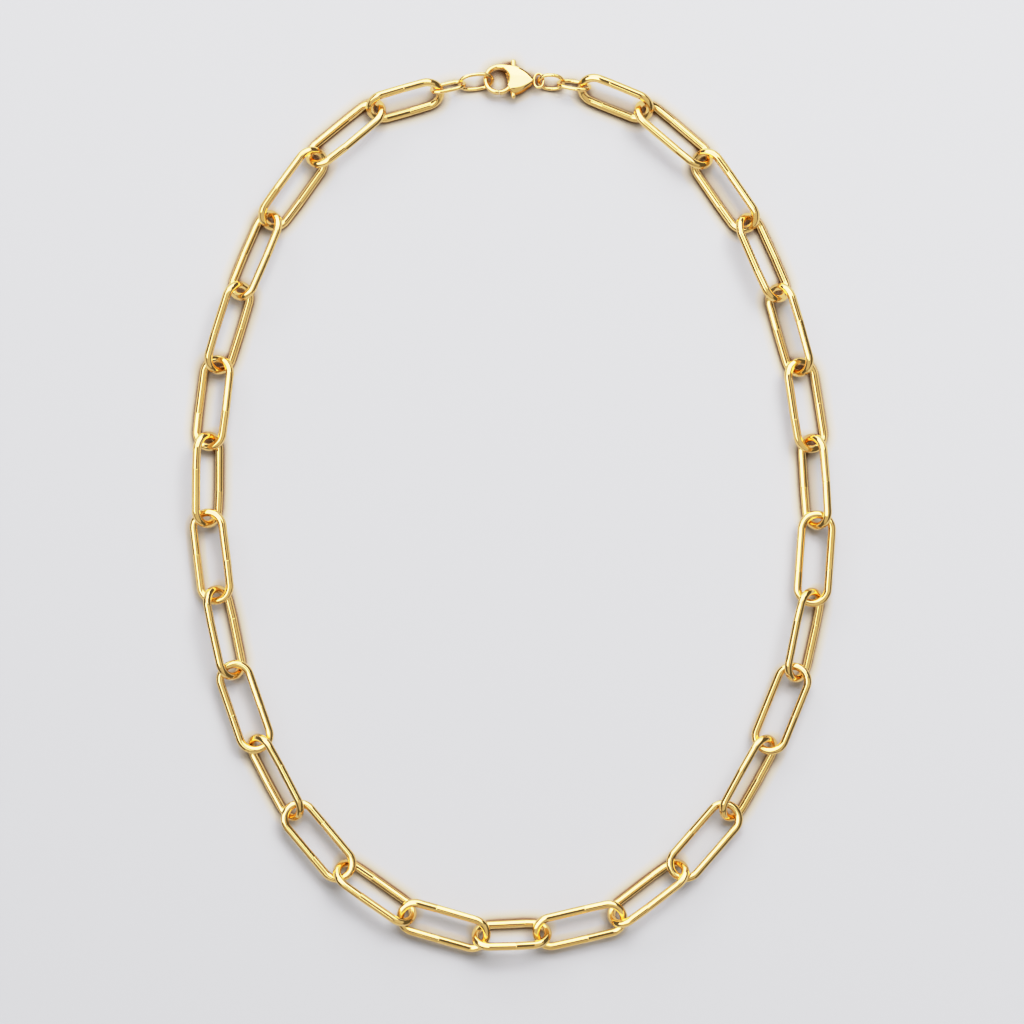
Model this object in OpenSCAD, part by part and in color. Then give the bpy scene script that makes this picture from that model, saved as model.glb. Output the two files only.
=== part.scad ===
// A choker of long oval wire links, closed by a lobster clasp, laid out flat in an egg-shaped loop.
// Millimetres. +Z is up, +Y points to the clasp, and the loop lies on the plane z = 0.

/* [Chain links] */
// Diameter of the link wire
wire_d = 1.4; // [1.3:0.05:1.4]
// Length of a full link, over its ends
link_l = 16.8; // [16.8:0.1:17]
// Length of the two links at the clasp and the one in the middle, over their ends
short_l = 14; // [14:0.1:14.2]
// Width of every chain link, over its legs
link_w = 6.65; // [6.65:0.05:6.8]
// Distance from one full link to the next, along the chain
full_pitch = 13.35; // [13.3:0.01:13.4]
// Distance that a short link adds along the chain
short_pitch = 10.6; // [10.55:0.01:10.65]

/* [Jump links] */
// Wire diameter of the four small links beside the clasp
jump_d = 0.65; // [0.6:0.05:0.65]
// Width of the two outer small links, which hold the chain
outer_jump_w = 3.6; // [3.5:0.1:3.7]
// Width of the small link that the claw holds
claw_jump_w = 4.1; // [4.1:0.1:4.3]
// Width of the small link in the clasp's end ring
tail_jump_w = 3.9; // [3.8:0.1:4]

/* [Clasp] */
// Radius of the round opening inside the claw
eye_r = 1.83; // [1.75:0.01:1.85]
// Width of the claw and of the gate
claw_w = 0.88; // [0.8:0.01:0.9]
// Thickness of the claw, the gate and the lever
claw_t = 1.3; // [1.2:0.05:1.35]
// Greatest thickness of the domed body
body_t = 2.8; // [2.6:0.1:2.9]
// Radius of the two arcs that give the body its teardrop outline
drop_r = 5.9; // [5.8:0.1:6]
// Diameter of the hidden pin that the lever turns on
pin_d = 0.5; // [0.4:0.05:0.6]
// Running clearance round the lever
lever_gap = 0.1; // [0.08:0.01:0.12]
// Angle that the lever turns to open the gate
lever_swing = 25; // [15:1:25]
// How far the clasp leans on its long axis as it lies, with its gate side up
clasp_tilt = 12; // [8:1:13]

/* [Hidden] */
$fn = 64;
gold = [0.85, 0.66, 0.30];

// How the chain lies, one row for each pair of links, counted from the clasp.
// Turn is the angle in degrees from straight out sideways, down round the loop.
// Roll is how far a link is turned on its own long axis, plus where its outer leg is the upper one.
LEFT_TURN = 0;
LEFT_ROLL = 1;
RIGHT_TURN = 2;
RIGHT_ROLL = 3;
LAY = [
    // left turn, left roll, right turn, right roll
    [ 16,  43,  22,  43],
    [ 39, -44,  40, -47],
    [ 54,  36,  55,  34],
    [ 67, -43,  66, -44],
    [ 73,  43,  74,  43],
    [ 83, -28,  81, -28],
    [ 89,  46,  86,  48],
    [ 97, -14,  94,   0],
    [102,  48, 102, -49],
    [109,   0, 112,   8],
    [118, -49, 119, -49],
    [130,   0, 131,   0],
    [145,  49, 143,  49],
    [164, -14, 167, -14]
];
middle_roll = 50;
// Where the left half and the right half of the chain start, beside the clasp
left_start = [-13.5, 71.57];
right_start = [12.9, 72.47];

pairs = len(LAY);
bend_r = (link_w - wire_d) / 2;
// A link that rolls less than this is carried by its neighbours and doesn't touch the ground
carried_roll = 25;

function pitch(k) = k == 0 ? short_pitch : full_pitch;
function left_way(k) = [-cos(LAY[k][LEFT_TURN]), -sin(LAY[k][LEFT_TURN])];
function right_way(k) = [cos(LAY[k][RIGHT_TURN]), -sin(LAY[k][RIGHT_TURN])];
function left_joint(k) = k == 0 ? left_start : left_joint(k - 1) + pitch(k - 1) * left_way(k - 1);
function right_joint(k) = k == 0 ? right_start : right_joint(k - 1) + pitch(k - 1) * right_way(k - 1);

// Links are numbered from the left of the clasp, down, and round to its right
middle = pairs;
last = 2 * pairs;
middle_span = right_joint(pairs) - left_joint(pairs);
function on_left(i) = i < middle;
function row(i) = on_left(i) ? i : last - i;
function link_roll(i) =
    i == middle ? middle_roll : LAY[row(i)][on_left(i) ? LEFT_ROLL : RIGHT_ROLL];
function link_heading(i) =
    i == middle ? atan2(middle_span.y, middle_span.x)
    : on_left(i) ? 180 + LAY[i][LEFT_TURN]
    : -LAY[row(i)][RIGHT_TURN];
function link_centre(i) =
    i == middle ? (left_joint(pairs) + right_joint(pairs)) / 2
    : on_left(i) ? left_joint(i) + pitch(i) / 2 * left_way(i)
    : right_joint(row(i)) + pitch(row(i)) / 2 * right_way(row(i));
function link_length(i) = i == middle || row(i) == 0 ? short_l : link_l;
// A rolled link rests on its lower leg, and a flat one hangs between its two neighbours
function resting_height(roll) = wire_d / 2 + bend_r * sin(abs(roll));
function link_height(i) =
    abs(link_roll(i)) > carried_roll ? resting_height(link_roll(i))
    : (resting_height(link_roll(i - 1)) + resting_height(link_roll(i + 1))) / 2;
// On the left half and in the middle the outer leg is on the link's right-hand side
function roll_about_axis(i) = i <= middle ? -link_roll(i) : link_roll(i);

// How each small link lies: the middle of its wire axis, its heading, the rise of its far end,
// its roll on its own long axis, and its length and width over the wire
JUMP_AT = 0;
JUMP_HEADING = 1;
JUMP_RISE = 2;
JUMP_ROLL = 3;
JUMP_LENGTH = 4;
JUMP_WIDTH = 5;
LEFT_OUTER = [[-11.18, 72.47, 2.15], 14, -12, -61, 6.5, outer_jump_w];
LEFT_CLAW = [[-6.35, 73.4, 1.73], 6.5, -4.5, 49, 6.4, claw_jump_w];
RIGHT_TAIL = [[6.7, 73.37, 1.63], -3, 3.5, 48, 4.9, tail_jump_w];
RIGHT_OUTER = [[10.65, 72.79, 1.98], -10, 8, -60, 6.1, outer_jump_w];

// The clasp is drawn about the centre of its round opening, with its tail towards +X
eye_centre = [-2.38, 73.75, 1.6];
claw_r = eye_r + claw_w / 2;
// Middle of the domed body, and how far the two outline arcs' centres lie from its long axis
body_centre = [1.2, -0.15];
drop_offset = 3.3;
dome_r = 12;
dome_centre_x = 2.3;
// Where the body thins out to the claw
body_left = -0.5;
body_full = 1.3;
// The gate shows between the claw's end and the body's shoulder, a straight edge from this point
shoulder_from = [1.45, -1.07];
shoulder_angle = -58;
claw_from = 62;
claw_to = 275;
// The lever turns about a pin near the gate side, and its two nubs stick out of the body's edges
pivot = [2.5, -1.28];
boss_r = 0.85;
arm_w = 0.84;
thumb_end = 3.55;
nub_end = -3.3;
// The gate ends on an arc about the pin, so that it can leave the claw's end face
gate_reach = 2.68;
seam_gap = 0.07;
slot_t = claw_t + 2 * lever_gap;
slot_reach = 6;
// Sector about the pin that the gate and the lower nub sweep
gate_slot_from = 132;
gate_slot_to = 302;
pin_l = body_t - 0.75;
// Radial play of the pin in the body, and of the lever on the pin
pin_fit = 0.02;
pin_play = 0.05;
// The end ring is an upright oval cast on the tip of the body, with rounded faces
ring_d = 0.42;
ring_t = 0.8;
ring_l = 2.9;
ring_w = 2.05;
ring_centre = [6.9, -0.18];

module wire_oval(l, w, d) {
    straight = l - w;
    axis_r = (w - d) / 2;
    for (end = [0, 180])
        rotate([0, 0, end]) translate([straight / 2, 0, 0]) rotate([0, 0, -90])
            rotate_extrude(angle = 180) translate([axis_r, 0]) circle(d = d);
    for (side = [-1, 1])
        translate([0, side * axis_r, 0]) rotate([0, 90, 0])
            cylinder(d = d, h = straight, center = true);
}

module flat_oval(l, w) {
    square([l - w, w], center = true);
    for (side = [-1, 1]) translate([side * (l - w) / 2, 0]) circle(d = w);
}

// An oval ring of thickness t, whose faces are as round as a wire of width d
module band_oval(l, w, d, t) {
    for (side = [-1, 1]) translate([0, 0, side * (t - d) / 2]) wire_oval(l, w, d);
    linear_extrude(t - d, center = true) difference() {
        flat_oval(l, w);
        flat_oval(l - 2 * d, w - 2 * d);
    }
}

module chain_link(i) {
    centre = link_centre(i);
    color(gold)
        translate([centre.x, centre.y, link_height(i)])
            rotate([0, 0, link_heading(i)]) rotate([roll_about_axis(i), 0, 0])
                wire_oval(link_length(i), link_w, wire_d);
}

module jump_link(spec) {
    color(gold)
        translate(spec[JUMP_AT])
            rotate([0, 0, spec[JUMP_HEADING]]) rotate([0, -spec[JUMP_RISE], 0])
                rotate([spec[JUMP_ROLL], 0, 0])
                    wire_oval(spec[JUMP_LENGTH], spec[JUMP_WIDTH], jump_d);
}

module drop_outline() {
    intersection() {
        translate(body_centre - [0, drop_offset]) circle(r = drop_r);
        translate(body_centre + [0, drop_offset]) circle(r = drop_r);
    }
}

// Side profile of the body: thin at the claw, full from there to the tip
module body_profile() {
    reach = 8;
    polygon([
        [body_left, -claw_t / 2], [body_full, -body_t / 2], [reach, -body_t / 2],
        [reach, body_t / 2], [body_full, body_t / 2], [body_left, claw_t / 2]
    ]);
}

module domed_body() {
    intersection() {
        linear_extrude(body_t, center = true) drop_outline();
        rotate([90, 0, 0]) linear_extrude(4 * eye_r, center = true) body_profile();
        dome(1);
        dome(-1);
    }
}

// One of the two large balls whose overlap gives the body its domed faces
module dome(side) {
    translate([dome_centre_x, body_centre.y, side * (body_t / 2 - dome_r)])
        sphere(r = dome_r, $fn = 96);
}

// Cuts the body back to its shoulder, so that the gate lies open below the eye
module gate_clearance() {
    reach = 2 * drop_r;
    linear_extrude(2 * body_t, center = true)
        polygon([
            [0, 0], shoulder_from,
            shoulder_from + reach * [cos(shoulder_angle), sin(shoulder_angle)],
            [-reach, -reach]
        ]);
}

// The lever's thumb arm and the path it takes when it swings towards the tail
module thumb_slot() {
    half = arm_w / 2 + lever_gap;
    open = 90 - lever_swing;
    along = [cos(open), sin(open)];
    across = [sin(open), -cos(open)];
    polygon([
        [-half, 0], [-half, slot_reach], slot_reach * along,
        slot_reach * along + half * across, half * across
    ]);
}

module gate_slot() {
    step = (gate_slot_to - gate_slot_from) / 3;
    polygon([
        [0, 0],
        for (a = [gate_slot_from:step:gate_slot_to + 1]) slot_reach * [cos(a), sin(a)]
    ]);
}

module lever_slot() {
    linear_extrude(slot_t, center = true) {
        circle(r = boss_r + lever_gap);
        thumb_slot();
        gate_slot();
    }
}

// Places what is drawn about the round opening
module clasp_place() {
    translate(eye_centre) rotate([-clasp_tilt, 0, 0]) children();
}

// A stretch of the ring that the claw and the gate make together, with rounded faces
module claw_ring(from, to) {
    rotate([0, 0, from]) rotate_extrude(angle = to - from) translate([claw_r, 0]) {
        square([claw_w, claw_t - claw_w], center = true);
        for (side = [-1, 1]) translate([0, side * (claw_t - claw_w) / 2]) circle(d = claw_w);
    }
}

// The claw stops on an arc about the pin, just clear of the gate's end
module claw() {
    difference() {
        claw_ring(claw_from, claw_to);
        translate(pivot) cylinder(r = gate_reach + seam_gap, h = 2 * claw_t, center = true);
    }
}

module clasp_body() {
    color(gold) clasp_place() {
        difference() {
            domed_body();
            cylinder(r = eye_r, h = 2 * body_t, center = true);
            gate_clearance();
            translate(pivot) lever_slot();
            translate(pivot) cylinder(d = pin_d + 2 * pin_fit, h = pin_l + 2 * pin_fit, center = true);
        }
        claw();
        translate(ring_centre) rotate([0, 0, 90]) band_oval(ring_l, ring_w, ring_d, ring_t);
    }
}

module lever_plate() {
    linear_extrude(claw_t, center = true) {
        circle(r = boss_r);
        translate([-arm_w / 2, 0]) square([arm_w, thumb_end - pivot.y - arm_w / 2]);
        translate([0, thumb_end - pivot.y - arm_w / 2]) circle(d = arm_w);
        translate([-arm_w / 2, nub_end - pivot.y + arm_w / 2])
            square([arm_w, pivot.y - nub_end - arm_w / 2]);
        translate([0, nub_end - pivot.y + arm_w / 2]) circle(d = arm_w);
    }
}

module gate() {
    intersection() {
        claw_ring(claw_to - 10, claw_to + 50);
        translate(pivot) cylinder(r = gate_reach, h = 2 * claw_t, center = true);
    }
}

module clasp_lever() {
    color(gold) clasp_place()
        difference() {
            union() {
                gate();
                translate(pivot) lever_plate();
            }
            translate(pivot) cylinder(d = pin_d + 2 * pin_play, h = body_t, center = true);
        }
}

module clasp_pin() {
    color(gold) clasp_place() translate(pivot)
        cylinder(d = pin_d, h = pin_l, center = true);
}

for (i = [0:last])
    chain_link(i);
jump_link(LEFT_OUTER);  // left_outer_jump
jump_link(LEFT_CLAW);  // left_claw_jump
jump_link(RIGHT_TAIL);  // right_tail_jump
jump_link(RIGHT_OUTER);  // right_outer_jump
clasp_body();
clasp_lever();
clasp_pin();
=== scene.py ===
"""A choker of long oval wire links with a lobster clasp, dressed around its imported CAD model.

Metres. +Z is up from the surface it lies on and +Y points to the clasp, which is up in the photograph.
"""

import math

import bmesh
import bpy
import numpy as np
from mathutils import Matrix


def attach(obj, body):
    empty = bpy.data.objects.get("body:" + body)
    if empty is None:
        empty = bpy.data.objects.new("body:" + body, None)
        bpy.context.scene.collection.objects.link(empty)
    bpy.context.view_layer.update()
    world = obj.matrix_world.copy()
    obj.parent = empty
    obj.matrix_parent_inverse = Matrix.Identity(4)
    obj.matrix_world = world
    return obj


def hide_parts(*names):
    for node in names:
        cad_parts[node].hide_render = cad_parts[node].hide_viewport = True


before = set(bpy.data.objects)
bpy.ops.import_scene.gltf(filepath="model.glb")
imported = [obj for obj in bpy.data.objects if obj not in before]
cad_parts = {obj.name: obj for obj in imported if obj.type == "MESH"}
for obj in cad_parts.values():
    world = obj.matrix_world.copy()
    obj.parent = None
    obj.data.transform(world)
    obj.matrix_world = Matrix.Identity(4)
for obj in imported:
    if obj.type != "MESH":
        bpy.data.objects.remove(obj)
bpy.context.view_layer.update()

# Chain links
# Each link is round gold-plated brass wire, bent over a mandrel in two halves. The halves are
# soldered end to end in both legs, filed flush and polished, so a hairline shows at each joint, and
# the reflections break there because the halves don't lie quite in line.

MM = 1e-3
WIRE_R = 0.7 * MM
LINK_W = 6.65 * MM
SEAM_DEPTH = 0.018 * MM
SEAM_HALF_W = 0.03 * MM
CROWD = SEAM_HALF_W * np.array([-6, -3.2, -1.9, -1.2, -0.6, 0, 0.6, 1.2, 1.9, 3.2, 6])
CROWD_CLEAR = 7 * SEAM_HALF_W
# Shares of the wire's radius: what it loses outside a bend, and the height of its six faint flats
FLATTENED = 0.018
OUT_OF_ROUND = 0.024
LOBES = 6
# How far a joint may sit from the middle of its leg and how far the leg is bent there, both in
# millimetres, and how far the flats may turn on either side of it, in radians
JOINT_SPREAD = 2.4
LEG_BEND = (0.05, 0.12)
FLAT_SPREAD = 0.28
GOLD = (0.94, 0.645, 0.245)
DEEP_GOLD = (0.90, 0.595, 0.205)


def lie_of(node):
    """Centre, long axis, cross axis, upward normal and length over all of a link, from its CAD mesh.

    The axes are the eigenvectors of the surface's second moment. A triangle with corners a, b, c and
    area A adds A/12 times (aa + bb + cc + (a+b+c)(a+b+c)), which is exact for a flat triangle. The
    long axis is turned to +X and the normal to +Z, so the cross axis points to +Y.
    """
    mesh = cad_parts[node].data
    mesh.calc_loop_triangles()
    co = np.empty(len(mesh.vertices) * 3)
    mesh.vertices.foreach_get("co", co)
    tri = np.empty(len(mesh.loop_triangles) * 3, int)
    mesh.loop_triangles.foreach_get("vertices", tri)
    co = co.reshape(-1, 3)
    corner = co[tri.reshape(-1, 3)]
    area = np.linalg.norm(np.cross(corner[:, 1] - corner[:, 0], corner[:, 2] - corner[:, 0]), axis=1)
    centre = (area[:, None] * corner.mean(1)).sum(0) / area.sum()
    corner = corner - centre
    total = corner.sum(1)
    moment = np.einsum("t,tci,tcj->ij", area, corner, corner)
    moment += np.einsum("t,ti,tj->ij", area, total, total)
    axes = np.linalg.eigh(moment)[1]
    along = axes[:, 2] * np.sign(axes[0, 2])
    up = axes[:, 0] * np.sign(axes[2, 0])
    return centre, along, np.cross(up, along), up, np.ptp(co @ along)


def oval_path(half, r, joints, leg_rings=26, bend_rings=44):
    """Points of an oval's centre line, counted from the middle of the leg on the +across side.

    The line is two straight legs of length 2 x half, joined by two half circles of radius r. A point
    at arc length s is on a leg, or at angle s/r round a bend. Rings crowd round the joint of each leg.
    Returns arc length, position (along, across), the outward normal in the same plane, and the arc
    length to the middle of the second leg.
    """
    bend = math.pi * r
    arc = np.linspace(0, bend, bend_rings, endpoint=False)
    legs = []
    for joint in joints:
        leg = np.linspace(-half, half, leg_rings, endpoint=False)
        leg = leg[np.abs(leg - joint) > CROWD_CLEAR]
        legs.append(np.sort(np.concatenate([leg, joint + CROWD])))
    back = 2 * half + bend
    s = np.concatenate([legs[0], half + arc, back + legs[1], back + half + arc])
    turn_1 = (s - half) / r
    turn_2 = (s - back - half) / r
    parts = [(s >= half) & (s < half + bend), (s >= half + bend) & (s < back + half), s >= back + half]
    minus = np.full(len(s), -1.0)
    x = np.select(parts, [half + r * np.sin(turn_1), back - s, -half - r * np.sin(turn_2)], s)
    y = np.select(parts, [r * np.cos(turn_1), r * minus, -r * np.cos(turn_2)], r)
    normal_x = np.select(parts[::2], [np.sin(turn_1), -np.sin(turn_2)], 0.0)
    normal_y = np.select(parts, [np.cos(turn_1), minus, -np.cos(turn_2)], 1.0)
    return s, np.stack([x, y], 1), np.stack([normal_x, normal_y], 1), back


def full_turn(count):
    """Angles spread evenly round a circle."""
    return np.linspace(0, 2 * math.pi, count, endpoint=False)


def quads_between(number):
    """Quads between the neighbours in a grid of vertex numbers."""
    quads = [number[:-1, :-1], number[:-1, 1:], number[1:, 1:], number[1:, :-1]]
    return np.stack(quads, -1).reshape(-1, 4)


def ring_numbers(along, around, closed):
    """Vertex numbers of a tube, ring by ring.

    Each ring ends with its first number again, and a closed tube with its first ring again.
    """
    number = np.arange(along * around).reshape(along, around)
    return np.pad(number, ((0, int(closed)), (0, 1)), "wrap")


def put(name, data):
    """A new object in the scene."""
    thing = bpy.data.objects.new(name, data)
    bpy.context.scene.collection.objects.link(thing)
    return thing


def oval_link(name, node, wire, width, joints, lifts, turns, around=44, oval=0.0):
    """A wire oval placed as its CAD node lies.

    Wire surface = centre line + radius x (cos v x outward normal + sin v x plane's normal). Round a
    bend the outward radius is smaller by FLATTENED. The section is out of round by a cosine of LOBES
    turns, and its phase is another one past each joint. Each leg goes up or down in a straight ramp
    to its joint, by its lift. At a joint the radius has a hairline groove of Gaussian section. The legs
    draw in towards the ends: the line is part stadium, part ellipse, in the share that oval gives.
    """
    centre, along, across, up, length = lie_of(node)
    r = width / 2 - wire
    half = length / 2 - wire - r
    s, line, outward, back = oval_path(half, r, joints)
    x = line[:, 0]
    ellipse = r * np.sqrt(np.clip(1 - (x / (half + r)) ** 2, 0, 1))
    line[:, 1] = (1 - oval) * line[:, 1] + oval * np.sign(line[:, 1]) * ellipse
    bend = np.clip((np.abs(x) - half) / r, 0, 1)
    first, second = joints[0], back + joints[1]
    past = 0.5 + 0.5 * np.tanh((s - first) / SEAM_HALF_W) * np.tanh((second - s) / SEAM_HALF_W)
    phase = turns[0] + (turns[1] - turns[0]) * past
    rise, groove = np.zeros((2, len(s)))
    for at, joint, lift in zip((first, second), joints, lifts):
        leg_part = np.where(s < at, half + joint, half - joint)
        rise += lift * np.clip(1 - np.abs(s - at) / leg_part, 0, 1)
        groove += SEAM_DEPTH * np.exp(-(((s - at) / SEAM_HALF_W) ** 2))
    v = full_turn(around)
    section = wire * OUT_OF_ROUND * np.cos(LOBES * (v - phase[:, None])) - groove[:, None]
    out_r = wire * (1 - FLATTENED * bend)[:, None] + section
    up_r = wire * (1 + 0.5 * FLATTENED * bend)[:, None] + section
    in_plane = line[:, None, :] + outward[:, None, :] * (out_r * np.cos(v))[..., None]
    over_plane = (up_r * np.sin(v) + rise[:, None])[..., None]
    points = centre + in_plane[..., :1] * along + in_plane[..., 1:] * across + over_plane * up

    mesh = bpy.data.meshes.new(name)
    faces = quads_between(ring_numbers(len(s), around, closed=True))
    mesh.from_pydata(points.reshape(-1, 3), [], faces)
    mesh.polygons.foreach_set("use_smooth", np.ones(len(mesh.polygons), bool))
    mesh.validate()
    # Links rub in the bends, on the side that faces the oval's inside
    rubbed = np.outer(bend**2, 0.5 - 0.5 * np.cos(v)).astype(np.float32)
    mesh.attributes.new("rub", "FLOAT", "POINT").data.foreach_set("value", rubbed.ravel())
    return put(name, mesh)


def polished_gold(name, rough, scratch, shift):
    """Polished gold plate: a slow drift between two golds, fine polishing marks and a faint ripple.

    Roughness goes from rough to rough + scratch with the marks, and is higher where the attribute rub
    says that links have rubbed on each other. The shift is added to the scale of the drift, so that
    no two kinds of piece drift alike.
    """
    mat = bpy.data.materials.new(name)
    mat.use_nodes = True
    tree = mat.node_tree
    nodes, link = tree.nodes, tree.links.new
    shader = nodes["Principled BSDF"]
    shader.inputs["Metallic"].default_value = 1.0
    place = nodes.new("ShaderNodeTexCoord")

    drift = nodes.new("ShaderNodeTexNoise")
    drift.inputs["Scale"].default_value = 260.0 + shift
    drift.inputs["Detail"].default_value = 3.0
    link(place.outputs["Object"], drift.inputs["Vector"])
    tone = nodes.new("ShaderNodeMix")
    tone.data_type = "RGBA"
    tone.inputs["A"].default_value = (*DEEP_GOLD, 1)
    tone.inputs["B"].default_value = (*GOLD, 1)
    spread = nodes.new("ShaderNodeMapRange")
    spread.inputs["From Min"].default_value = 0.3
    spread.inputs["From Max"].default_value = 0.62
    link(drift.outputs["Fac"], spread.inputs["Value"])
    link(spread.outputs["Result"], tone.inputs["Factor"])
    link(tone.outputs["Result"], shader.inputs["Base Color"])

    marks = nodes.new("ShaderNodeTexNoise")
    marks.inputs["Scale"].default_value = 5200.0
    marks.inputs["Detail"].default_value = 5.0
    marks.inputs["Roughness"].default_value = 0.65
    stretch = nodes.new("ShaderNodeMapping")
    stretch.inputs["Scale"].default_value = (1.0, 0.25, 1.0)
    stretch.inputs["Rotation"].default_value = (0.3, 0.5, 0.7)
    link(place.outputs["Object"], stretch.inputs["Vector"])
    link(stretch.outputs["Vector"], marks.inputs["Vector"])
    polish = nodes.new("ShaderNodeMapRange")
    polish.inputs["From Min"].default_value = 0.35
    polish.inputs["From Max"].default_value = 0.75
    polish.inputs["To Min"].default_value = rough
    polish.inputs["To Max"].default_value = rough + scratch
    link(marks.outputs["Fac"], polish.inputs["Value"])
    rub = nodes.new("ShaderNodeAttribute")
    rub.attribute_name = "rub"
    dulled = nodes.new("ShaderNodeMath")
    dulled.operation = "MULTIPLY_ADD"
    dulled.inputs[1].default_value = 0.05
    link(rub.outputs["Fac"], dulled.inputs[0])
    link(polish.outputs["Result"], dulled.inputs[2])
    link(dulled.outputs["Value"], shader.inputs["Roughness"])

    ripple = nodes.new("ShaderNodeTexNoise")
    ripple.inputs["Scale"].default_value = 900.0
    ripple.inputs["Detail"].default_value = 2.0
    link(place.outputs["Object"], ripple.inputs["Vector"])
    height = nodes.new("ShaderNodeMath")
    height.operation = "MULTIPLY_ADD"
    height.inputs[1].default_value = 0.12
    link(marks.outputs["Fac"], height.inputs[0])
    link(ripple.outputs["Fac"], height.inputs[2])
    relief = nodes.new("ShaderNodeBump")
    relief.inputs["Strength"].default_value = 0.25
    relief.inputs["Distance"].default_value = 0.004 * MM
    link(height.outputs["Value"], relief.inputs["Height"])
    link(relief.outputs["Normal"], shader.inputs["Normal"])
    return mat


link_gold = polished_gold("link_gold_plate", rough=0.055, scratch=0.07, shift=0.0)
chance = np.random.default_rng(16)
for node in sorted(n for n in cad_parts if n.startswith("link_")):
    joints = chance.uniform(-JOINT_SPREAD, JOINT_SPREAD, 2) * MM
    # The leg near the floor is bent up and the other one down, whichever way the link is rolled
    sides = np.sign(lie_of(node)[2][2] * np.array([-1, 1]))
    lifts = sides * chance.uniform(*LEG_BEND, 2) * MM
    turns = math.pi / LOBES + chance.uniform(-FLAT_SPREAD, FLAT_SPREAD, 2)
    piece = oval_link("wire_" + node, node, WIRE_R, LINK_W, joints, lifts, turns)
    piece.data.materials.append(link_gold)
    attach(piece, "chain")
    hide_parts(node)

# Small links beside the clasp
# Four ovals of thin round wire, cut from a coil, closed with pliers and soldered. They join the
# chain to the claw on one side and to the clasp's end ring on the other.

JUMP_R = 0.325 * MM
JUMP_JOINT_SPREAD = 0.5
# Width over all, and the share in which the oval is an ellipse
JUMP_SHAPES = {
    "left_outer_jump": (3.6 * MM, 0.35),
    "left_claw_jump": (4.1 * MM, 0.6),
    "right_tail_jump": (3.9 * MM, 0.6),
    "right_outer_jump": (3.6 * MM, 0.6),
}
jump_gold = polished_gold("jump_gold_plate", rough=0.06, scratch=0.08, shift=40.0)
for node, (width, oval) in JUMP_SHAPES.items():
    joints = chance.uniform(-JUMP_JOINT_SPREAD, JUMP_JOINT_SPREAD, 2) * MM
    turns = chance.uniform(0, 2 * math.pi, 2)
    piece = oval_link("wire_" + node, node, JUMP_R, width, joints, (0, 0), turns, 32, oval)
    piece.data.materials.append(jump_gold)
    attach(piece, "chain")
    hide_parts(node)

# Clasp body
# One investment casting in brass, tumbled, polished and gold plated: a teardrop of two domed shells
# round the lever's slot, a claw that goes on from it round the eye, and an end ring at its point.

# Lengths are in millimetres from the middle of the eye, x along the clasp. Angles round the eye are in
# degrees from x. The clasp lies leaning on its long axis.
EYE = np.array([-2.38, 73.75, 1.6])
LEAN = math.radians(12)
EYE_R = 1.83
CLAW_W, CLAW_T = 0.88, 1.3
CLAW_POWERS = (2.8, 1.8)
SHELL_R = 5.9
SHELL_CENTRES = ((1.2, -3.45), (1.2, 3.15))
CLAW_ALONE = 110
POINT_ANGLE = -1.4
DOME_TOP, DOME_R, DOME_CENTRE = 1.4, 14, (2.3, -0.15)
RAMP_FROM, RAMP_HEIGHT, RAMP_RISE = -0.5, 0.65, 0.417
SOFT = 0.02
SLOT_HALF, SLOT_END = 0.75, 52.0
BULGE_FADE = (28, SLOT_END - 2)
# The claw ends and the gate starts on circles round the pin, so the gate swings clear of the claw
PIVOT = np.array([2.5, -1.28])
CLAW_CUT, GATE_CUT = 2.82, 2.65


def polar(degrees, reach):
    """Points in the clasp's plane, some way out from the middle of the eye at some angle."""
    angle = np.radians(degrees)
    return np.stack([np.cos(angle), np.sin(angle)], -1) * np.asarray(reach)[..., None]


def raised(xy, z):
    """Points in the clasp's plane, given a height."""
    return np.concatenate([xy, np.broadcast_to(z, xy.shape[:-1])[..., None]], -1)


def ease(value, low, high):
    """Smoothstep from 0 at low to 1 at high."""
    t = np.clip((value - low) / (high - low), 0, 1)
    return t * t * (3 - 2 * t)


def outline_reach(degrees):
    """Distance from the eye's middle to the outline: the nearer of two arcs, or the claw's rim.

    Along a direction u, an arc with centre c and radius R is u.c + sqrt(R R - c.c + (u.c)(u.c)) away.
    """
    hits = []
    for centre in SHELL_CENTRES:
        toward = polar(degrees, 1) @ centre
        hits.append(toward + np.sqrt(SHELL_R**2 - np.dot(centre, centre) + toward**2))
    drop = np.minimum(*hits)
    rim = EYE_R + CLAW_W
    blended = 0.5 * (drop + rim + np.sqrt((drop - rim) ** 2 + SOFT))
    return np.where(degrees > CLAW_ALONE, rim, blended)


def face_height(xy):
    """Height of the upper shell's face: a ball's top that a ramp cuts off smoothly towards the claw."""
    off_top = ((xy - DOME_CENTRE) ** 2).sum(-1)
    dome = DOME_TOP - DOME_R + np.sqrt(DOME_R**2 - off_top)
    ramp = RAMP_HEIGHT + RAMP_RISE * (xy[..., 0] - RAMP_FROM)
    return 0.5 * (dome + ramp - np.sqrt((dome - ramp) ** 2 + SOFT))


def cut_angle(radius, cut):
    """Angle at which a circle round the eye meets a circle of radius cut round the pivot."""
    away = math.hypot(*PIVOT)
    cosine = (radius**2 + away**2 - cut**2) / (2 * radius * away)
    return 360 + math.degrees(math.atan2(PIVOT[1], PIVOT[0]) - math.acos(cosine))


def squared_round(turn, half_w, half_t, power, power_in=None):
    """Superellipse: |x / half_w| ^ power + |z / half_t| ^ power = 1, by angle.

    The half with x below nothing may have a power of its own.
    """
    c, s = np.cos(turn), np.sin(turn)
    root = 2 / np.where(c < 0, power_in or power, power)
    return half_w * np.sign(c) * np.abs(c) ** root, half_t * np.sign(s) * np.abs(s) ** root


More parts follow.
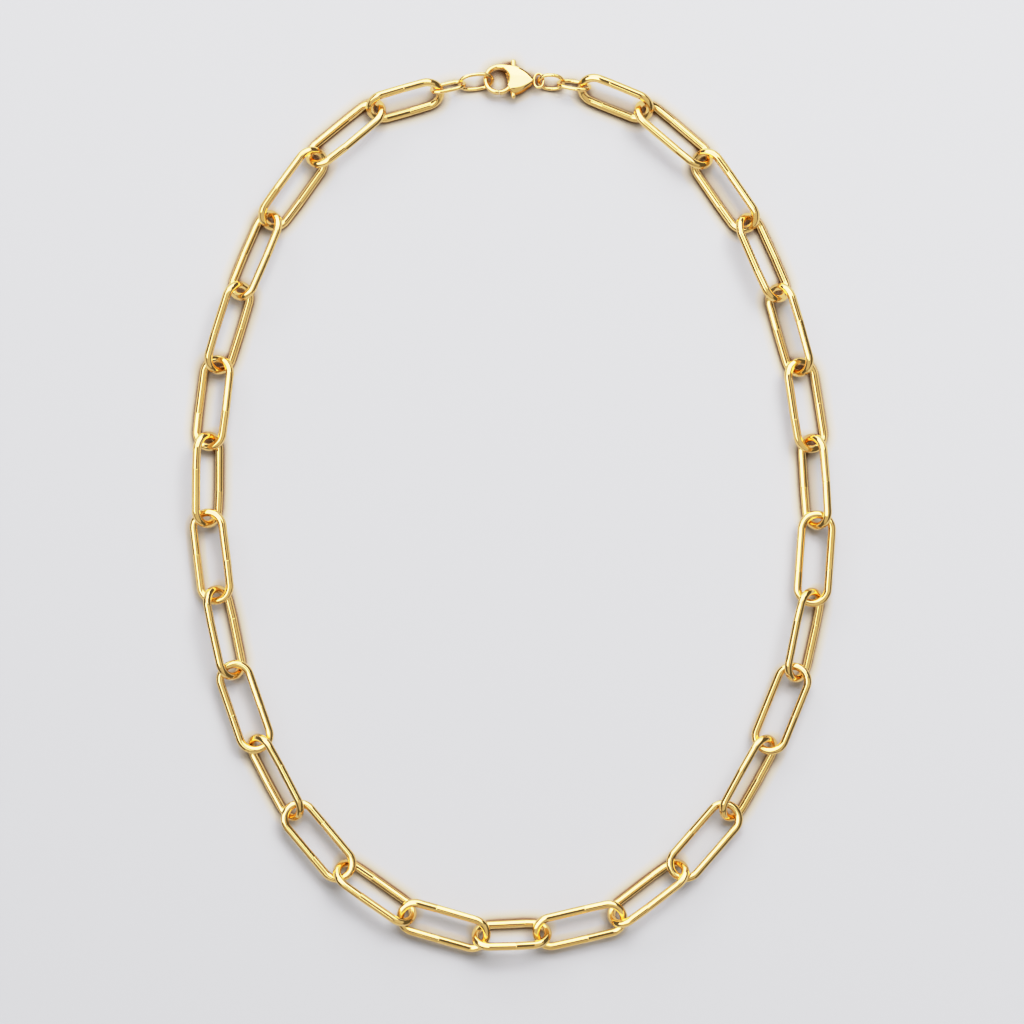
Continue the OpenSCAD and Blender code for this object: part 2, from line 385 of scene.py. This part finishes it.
# Rows run round the face and the claw, from the shoulder by the gate to the claw's tip. They are
# evenly spaced along the outline, with one at the body's point and one at the end of the slot
SHOULDER_IN, SHOULDER_OUT = -36.8, -47.4
ROWS = 300
claw_in, claw_out = cut_angle(EYE_R, CLAW_CUT), cut_angle(EYE_R + CLAW_W, CLAW_CUT)
fine = np.linspace(SHOULDER_OUT, claw_out, 20 * ROWS)
fine_steps = np.linalg.norm(np.diff(polar(fine, outline_reach(fine)), axis=0), axis=1)
walked = np.concatenate([[0], np.cumsum(fine_steps)])
stops = [0, *np.interp([POINT_ANGLE, SLOT_END], fine, walked), walked[-1]]
row_step = walked[-1] / ROWS
rows = [
    np.linspace(a, b, round((b - a) / row_step), endpoint=False) for a, b in zip(stops, stops[1:])
]
outer = np.interp(np.concatenate([*rows, stops[-1:]]), walked, fine)
row_n = len(outer)
slot_row = int(np.argmin(np.abs(outer - SLOT_END)))
inner = outer + (SHOULDER_IN - SHOULDER_OUT) * (1 - ease(outer, SHOULDER_OUT, -8))
inner = inner + (claw_in - claw_out) * ease(outer, 235, claw_out)
reach = outline_reach(outer)
in_point = polar(inner, EYE_R)
out_point = polar(outer, reach)
span = np.linalg.norm(out_point - in_point, axis=1)
way = (out_point - in_point) / span[:, None]

# Across a row: inner wall, inner bevel, dome, outer bevel, outer wall, then the corners are eased
PARTS = (5, 9, 26, 10, 5)
BEVEL_IN, RIM_DROP = 0.13, 0.16
LOW_WALL, FACE_END = 0.88, 58
LEAST = SLOT_HALF + np.array([0, 0.04, 0.08, 0.08, 0.03, 0])
LEAN_IN = 0.27
CORNER_PASSES, COLUMN_PASSES = 5, 14
part_of = np.append(np.repeat(np.arange(5), PARTS), 4)
within = np.append(np.concatenate([np.arange(n) / n for n in PARTS]), 1.0)


def between(corners):
    """Values across a row, straight from each of its six corners to the next."""
    return corners[..., part_of] + (corners[..., part_of + 1] - corners[..., part_of]) * within


def row_points(distance):
    """Points some distance out along each row."""
    return in_point[:, None] + way[:, None] * distance[..., None]


def averaged(side):
    """Average of each inner column with its two neighbours, weighted 1, 2, 1."""
    return (side[:, :-2] + 2 * side[:, 1:-1] + side[:, 2:]) / 4


bevel_out = np.where(
    outer < POINT_ANGLE,
    0.18 + 0.62 * np.clip((POINT_ANGLE - outer) / 40, 0, 1),
    0.14 + 0.38 * (1 - ease(outer, 16, FACE_END)),
)
bevel_out = np.minimum(bevel_out, 0.4 * (reach - EYE_R))
start = np.zeros(row_n)
corner = np.stack([start, start, start + BEVEL_IN, span - bevel_out, span, span], 1)
corner_z = face_height(row_points(corner))
low_wall = np.minimum(LOW_WALL, corner_z[:, 5] - 0.03)
high_wall = corner_z[:, 3] - 0.38 * bevel_out
wall_top = low_wall + (high_wall - low_wall) * ease(outer, -3, 1) * (1 - ease(outer, 40, FACE_END))
foot = start + SLOT_HALF
heights = [foot, corner_z[:, 2] - RIM_DROP, corner_z[:, 2], corner_z[:, 3], wall_top, foot]
straight = between(np.maximum(np.stack(heights, 1), LEAST))
across_row = between(corner)
dome = np.maximum(face_height(row_points(across_row)), LEAST[2])
section_z = np.where(part_of == 2, dome, straight)
leaning = (ease(outer, -28, -2) * (1 - ease(outer, *BULGE_FADE)))[:, None]
lean_in = LEAN_IN * (1 - np.clip((section_z - SLOT_HALF) / 0.5, 0, 1) ** 1.5) * leaning
section_x = across_row - lean_in * (part_of <= 1)
for _ in range(CORNER_PASSES):
    for side in (section_x, section_z):
        side[:, 1:-1] = averaged(side)

# The claw's section takes over past the shoulder of the face
claw_turn = between(np.radians([176, 152, 124, 56, 28, 4]))
claw_x, claw_z = squared_round(claw_turn, CLAW_W / 2, CLAW_T / 2, *CLAW_POWERS)
to_claw = ease(outer, SLOT_END + 2, 108)[:, None]
section_x = section_x * (1 - to_claw) + (claw_x + CLAW_W / 2) * to_claw
section_z = section_z * (1 - to_claw) + claw_z * to_claw
# Where the face runs into the claw, sections are averaged with the rows and then the columns beside
turning = (ease(outer, 34, 74) * (1 - ease(outer, 112, 130)))[:, None]
row_number = np.arange(row_n)
weight = np.exp(-0.5 * ((row_number[:, None] - row_number) / (0.2 + 5 * turning)) ** 2)
weight /= weight.sum(1, keepdims=True)
section_x, section_z = weight @ section_x, weight @ section_z
for _ in range(COLUMN_PASSES):
    for side in (section_x, section_z):
        side[:, 1:-1] += (averaged(side) - side[:, 1:-1]) * turning
section_z[: slot_row + 1] = np.maximum(section_z[: slot_row + 1], SLOT_HALF)
section_z[: slot_row + 1, [0, -1]] = SLOT_HALF

# The lower shell mirrors the upper one. Each has a floor along the slot, and past it they are joined
upper = raised(row_points(section_x), section_z).reshape(-1, 3)
body_points = [upper, upper * (1, 1, -1)]
number_up = np.arange(len(upper)).reshape(row_n, -1)
number_low = number_up + len(upper)
body_faces = [*quads_between(number_up), *quads_between(number_low)]
flat_from = len(body_faces)
for number in (number_up, number_low):
    body_faces += [*quads_between(number[: slot_row + 1, [0, -1]]), number[0]]
body_faces.append([*number_up[slot_row, [0, -1]], *number_low[slot_row, [-1, 0]]])
body_faces.append([*number_up[-1], *number_low[-1, ::-1]])
flat = [*range(flat_from, len(body_faces))]
for side in (0, -1):
    wall = np.stack([number_up[slot_row:, side], number_low[slot_row:, side]], 1)
    body_faces += [*quads_between(wall)]


def add_rings(points, faces, rings, closed=False):
    """Adds a tube of rings to a mesh in the making, closed on itself or with a face over each end.

    Rings is (along, around, 3). Returns the numbers of the new faces.
    """
    along, around = rings.shape[:2]
    start = sum(len(p) for p in points)
    number = ring_numbers(along, around, closed) + start
    ends = [] if closed else [number[0, :-1], number[-1, :-1]]
    new = [*quads_between(number), *ends]
    points.append(rings.reshape(-1, 3))
    faces += new
    return range(len(faces) - len(new), len(faces))


def object_from(name, points, faces, flat):
    """An object of closed meshes, leaned and put in place, smooth but for the faces counted in flat."""
    x, y, z = np.concatenate(points).T
    leaned = [x, y * math.cos(LEAN) + z * math.sin(LEAN), -y * math.sin(LEAN) + z * math.cos(LEAN)]
    mesh = bpy.data.meshes.new(name)
    mesh.from_pydata((np.stack(leaned, 1) + EYE) * MM, [], [list(map(int, face)) for face in faces])
    work = bmesh.new()
    work.from_mesh(mesh)
    bmesh.ops.recalc_face_normals(work, faces=work.faces)
    work.to_mesh(mesh)
    work.free()
    smooth = np.ones(len(mesh.polygons), bool)
    smooth[flat] = False
    mesh.polygons.foreach_set("use_smooth", smooth)
    return put(name, mesh)


# Inside the slot the casting is solid behind the lever's boss and behind its arm at full swing, and
# it is set back a little along the lower edge
CORE_HALF = SLOT_HALF + 0.02
CORE_FROM, CORE_TO = -36.5, 18.6
FULL_SWING = 25
BOSS_FROM, BOSS_TO, BOSS_CLEAR = 22, -52, 0.95
ARM_CLEAR, ARM_ALONG = 0.52, 0.86
lower_angles = np.linspace(CORE_FROM, POINT_ANGLE, 40)
edge_angles = np.concatenate([lower_angles, np.linspace(POINT_ANGLE + 0.5, CORE_TO, 24)])
inset = np.where(edge_angles < POINT_ANGLE, 0.10 + 0.3 * ease(-edge_angles, -POINT_ANGLE, 14), 0.05)
edge = polar(edge_angles, outline_reach(edge_angles) - inset)
arm_side = PIVOT + polar(-FULL_SWING, ARM_CLEAR) + polar(90 - FULL_SWING, ARM_ALONG)
round_boss = PIVOT + polar(np.linspace(BOSS_FROM, BOSS_TO, 14), BOSS_CLEAR)
core_xy = np.concatenate([edge, [arm_side], round_boss])
core = raised(np.stack([core_xy, core_xy]), [[-CORE_HALF], [CORE_HALF]])
flat += add_rings(body_points, body_faces, core)

# A thin web closes the slot towards the eye, and bulges a little into it
WEB_FROM, WEB_OUT = -14, 1.97
web_angles = np.linspace(WEB_FROM, SLOT_END + 1, 60)[:, None]
web_x, web_z = squared_round(full_turn(28), 1.0, CORE_HALF, 4.0, 5.0)
bulge = 0.28 * ease(web_angles, -12, 5) * (1 - ease(web_angles, *BULGE_FADE))
web_in = EYE_R + 0.005 - bulge
web_r = (WEB_OUT + web_in) / 2 + web_x * (WEB_OUT - web_in) / 2
add_rings(body_points, body_faces, raised(polar(web_angles, web_r), web_z))

# The end ring is a band round an oval
RING_CENTRE = (6.9, -0.18)
RING_LONG, RING_WIDE, RING_D, RING_T = 2.9, 2.05, 0.42, 0.8
ring_half = ((RING_WIDE - RING_D) / 2, (RING_LONG - RING_D) / 2)
ring_line = np.stack(squared_round(full_turn(96), *ring_half, 2.25), 1)
ring_run = np.roll(ring_line, -1, 0) - np.roll(ring_line, 1, 0)
ring_out = np.stack([ring_run[:, 1], -ring_run[:, 0]], 1)
ring_out /= np.linalg.norm(ring_out, axis=1, keepdims=True)
band_x, band_z = squared_round(full_turn(28), RING_D / 2, RING_T / 2, 2.6)
ring_xy = RING_CENTRE + ring_line[:, None] + ring_out[:, None] * band_x[:, None]
add_rings(body_points, body_faces, raised(ring_xy, band_z), closed=True)

body = object_from("cast_clasp_body", body_points, body_faces, flat)
clasp_gold = polished_gold("clasp_gold_plate", rough=0.07, scratch=0.05, shift=80.0)
body.data.materials.append(clasp_gold)
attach(body, "chain")
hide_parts("clasp_body")

# Clasp lever
# A second casting, which turns on a pin inside the slot: the gate that closes the eye, and a bar with
# a thumb piece above and a short nub below. A hidden spring holds the gate against the claw.

lever_points, lever_faces = [], []
GATE_END = 328
gate_in, gate_out = cut_angle(EYE_R, GATE_CUT), cut_angle(EYE_R + CLAW_W, GATE_CUT)
gate_x, gate_z = squared_round(full_turn(40), CLAW_W / 2, CLAW_T / 2, *CLAW_POWERS)
gate_start = gate_in + (gate_out - gate_in) * (gate_x / CLAW_W + 0.5)
gate_angles = gate_start + (GATE_END - gate_start) * np.linspace(0, 1, 70)[:, None]
gate_xy = polar(gate_angles, EYE_R + CLAW_W / 2 + gate_x)
flat = [*add_rings(lever_points, lever_faces, raised(gate_xy, gate_z))[-2:]]

# A round boss with a rounded edge sits on the pin
BOSS_R, BOSS_EDGE = 0.85, 0.12
boss_rise = np.linspace(-math.pi / 2, math.pi / 2, 15)[:, None]
boss_r = BOSS_R - BOSS_EDGE + BOSS_EDGE * np.cos(boss_rise)
boss_z = np.sign(boss_rise) * (CLAW_T / 2 - BOSS_EDGE) + BOSS_EDGE * np.sin(boss_rise)
boss_xy = PIVOT + polar(np.degrees(full_turn(56)), boss_r)
add_rings(lever_points, lever_faces, raised(boss_xy, boss_z))

# The bar has a waist over the nub, and its ends are rounded
ARM_W, THUMB_END, NUB_END = 0.84, 3.6, -3.35
arm_y = (THUMB_END + NUB_END - (THUMB_END - NUB_END) * np.cos(np.linspace(0, math.pi, 120))) / 2
arm_y = arm_y[:, None]
from_end = np.clip(np.minimum(arm_y - NUB_END, THUMB_END - arm_y) / (ARM_W / 2), 0, 1)
round_end = np.sqrt(np.clip(1 - (1 - from_end) ** 2, 0.0004, 1))
waist = 1 - 0.10 * np.exp(-(((arm_y - NUB_END - 1.15) / 0.35) ** 2)) + 0.08 * ease(arm_y, 2.6, 3.2)
arm_x, arm_z = squared_round(full_turn(40), ARM_W / 2, CLAW_T / 2, 3.0)
arm_xy = np.stack(np.broadcast_arrays(PIVOT[0] + arm_x * round_end * waist, arm_y), -1)
add_rings(lever_points, lever_faces, raised(arm_xy, arm_z * (0.45 + 0.55 * round_end)))

lever = object_from("cast_clasp_lever", lever_points, lever_faces, flat)
lever.data.materials.append(clasp_gold)
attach(lever, "lever")
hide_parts("clasp_lever")

# Clasp pin
# A length of brass wire, pressed through both shells and the lever, filed flush and plated over.
# It stays as the CAD model has it.

pin_gold = polished_gold("pin_gold_plate", rough=0.12, scratch=0.1, shift=120.0)
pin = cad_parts["clasp_pin"]
pin.data.materials.clear()
pin.data.materials.append(pin_gold)

# The surface under the choker
# A seamless sheet of pale cool grey paper, rolled out flat and matt. Its colour holds painted light and
# shade. Within 2 mm it is painted by how open it is. Close to the gold it is painted warmer, as a
# painted stand-in for the light the gold throws back. Where the wires all but close it in, it gets
# painted dark brown shade.

HALF_SIDE = 1.5
floor_mesh = bpy.data.meshes.new("pale_paper")
square = [(x * HALF_SIDE, y * HALF_SIDE, 0) for x, y in ((-1, -1), (1, -1), (1, 1), (-1, 1))]
floor_mesh.from_pydata(square, [], [(0, 1, 2, 3)])
floor = put("pale_paper", floor_mesh)
paper = bpy.data.materials.new("pale_paper")
paper.use_nodes = True
paper_nodes, paper_link = paper.node_tree.nodes, paper.node_tree.links.new
paper_shader = paper_nodes["Principled BSDF"]
nearby = paper_nodes.new("ShaderNodeAmbientOcclusion")
nearby.samples = 12
nearby.inputs["Distance"].default_value = 2.0 * MM
# Painted shade and painted warm bounce light: the paper's colour by how open it is, from all but
# closed in to quite free
PAINTED_SHADE_AND_BOUNCE = (
    (0.43, (0.085, 0.026, 0.002)),
    (0.56, (0.16, 0.060, 0.008)),
    (0.64, (0.41, 0.355, 0.28)),
    (0.80, (0.478, 0.434, 0.365)),
    (0.92, (0.525, 0.498, 0.474)),
    (1.0, (0.487, 0.499, 0.543)),
)
shade = paper_nodes.new("ShaderNodeValToRGB")
for openness, colour in PAINTED_SHADE_AND_BOUNCE[1:-1]:
    shade.color_ramp.elements.new(openness)
for stop, (openness, colour) in zip(shade.color_ramp.elements, PAINTED_SHADE_AND_BOUNCE):
    stop.position = openness
    stop.color = (*colour, 1)
# Ambient occlusion paints the shade and the warm bounce light into the paper's base colour
paper_link(nearby.outputs["AO"], shade.inputs["Fac"])
paper_link(shade.outputs["Color"], paper_shader.inputs["Base Color"])
paper_shader.inputs["Roughness"].default_value = 0.9
paper_shader.inputs["Specular IOR Level"].default_value = 0.1
floor_mesh.materials.append(paper)

# Light
# Level panels a metre up, bright beyond the clasp and over the left, dim over the right and the near
# side, and two low walls of light down to the horizon. The gold mirrors them as light and dark bands.
# The paper has a panel of its own in place of two of them, so its shadows fall to the near side.

PANEL_HEIGHT = 1.0
# Left and right edge, near and far edge, radiance, colour
PANELS = {
    "far_panel": ((-1.5, 1.0), (0.75, 2.25), 3.7, (1.0, 0.985, 0.97)),
    "key_panel": ((-1.2, 0.8), (0.27, 0.75), 3.0, (1.0, 0.985, 0.97)),
    "left_panel": ((-1.9, -0.13), (-0.45, 0.27), 3.7, (1.0, 0.985, 0.96)),
    "right_panel": ((0.13, 1.4), (-0.45, 0.27), 0.6, (1.0, 0.98, 0.94)),
    "near_panel": ((-1.5, 1.2), (-1.9, -0.45), 0.55, (1.0, 0.965, 0.87)),
    "paper_panel": ((-0.2, 0.75), (0.25, 0.9), 10.8, (1.0, 0.985, 0.965)),
}
# Middle, length and height, tilt and turn, radiance, colour
WALLS = {
    "far_wall": ((-0.55, 2.35, 0.56), (2.6, 1.1), (-90, 0), 2.6, (1.0, 1.0, 1.0)),
    "near_wall": ((0.0, -2.35, 0.46), (3.0, 0.88), (-90, 180), 0.5, (1.0, 0.965, 0.87)),
}
only_paper = bpy.data.collections.new("only_paper")
all_but_paper = bpy.data.collections.new("all_but_paper")
for lit, state in ((only_paper, "INCLUDE"), (all_but_paper, "EXCLUDE")):
    lit.objects.link(floor)
    lit.collection_objects[0].light_linking.link_state = state
LIT = {"key_panel": all_but_paper, "left_panel": all_but_paper, "paper_panel": only_paper}
lamps = {}
for name, ((left, right), (near, far), *glow) in PANELS.items():
    middle = ((left + right) / 2, (near + far) / 2, PANEL_HEIGHT)
    lamps[name] = (middle, (right - left, far - near), (0, 0), *glow)
for name, (middle, sides, (tilt, turn), radiance, colour) in (lamps | WALLS).items():
    lamp = bpy.data.lights.new(name, "AREA")
    lamp.shape = "RECTANGLE"
    lamp.size, lamp.size_y = sides
    # A lamp's power in watts spreads over its area and over pi
    lamp.energy = radiance * math.pi * sides[0] * sides[1]
    lamp.color = colour
    panel = put(name, lamp)
    panel.location = middle
    panel.rotation_euler = (math.radians(tilt), 0, math.radians(turn))
    panel.light_linking.receiver_collection = LIT.get(name)

# The rest of the room is dim and a little warm
ROOM = (0.13, 0.118, 0.095)
world = bpy.data.worlds.new("studio")
world.use_nodes = True
world.node_tree.nodes["Background"].inputs["Color"].default_value = (*ROOM, 1)
bpy.context.scene.world = world

# Highlights roll off softly up to three and a half times white, as in a photograph
WHITE = 3.5
ROLL_OFF = ((0.25, 0.25), (0.5, 0.5), (0.85, 0.745), (1.3, 0.855), (2.2, 0.94), (3.0, 0.985))
view = bpy.context.scene.view_settings
view.view_transform = "Standard"
view.use_curve_mapping = True
view.curve_mapping.white_level = (WHITE, WHITE, WHITE)
for value, shown in ROLL_OFF:
    view.curve_mapping.curves[3].points.new(value / WHITE, shown)
view.curve_mapping.update()

# Camera
# It looks straight down from well above, through a long lens, as in the photograph. The width of the
# view at the height of the gold gives the focal length.

VIEW_W = 177.15 * MM
VIEW_CENTRE = (-0.11 * MM, -1.11 * MM)
FOCUS_Z = 2.7 * MM
CAMERA_RISE = 0.8
SENSOR = 36.0
lens = bpy.data.cameras.new("camera")
lens.sensor_width = SENSOR
lens.lens = SENSOR * CAMERA_RISE / VIEW_W
lens.clip_start = 0.05
lens.clip_end = 20.0
camera = put("camera", lens)
camera.location = (*VIEW_CENTRE, FOCUS_Z + CAMERA_RISE)
bpy.context.scene.camera = camera
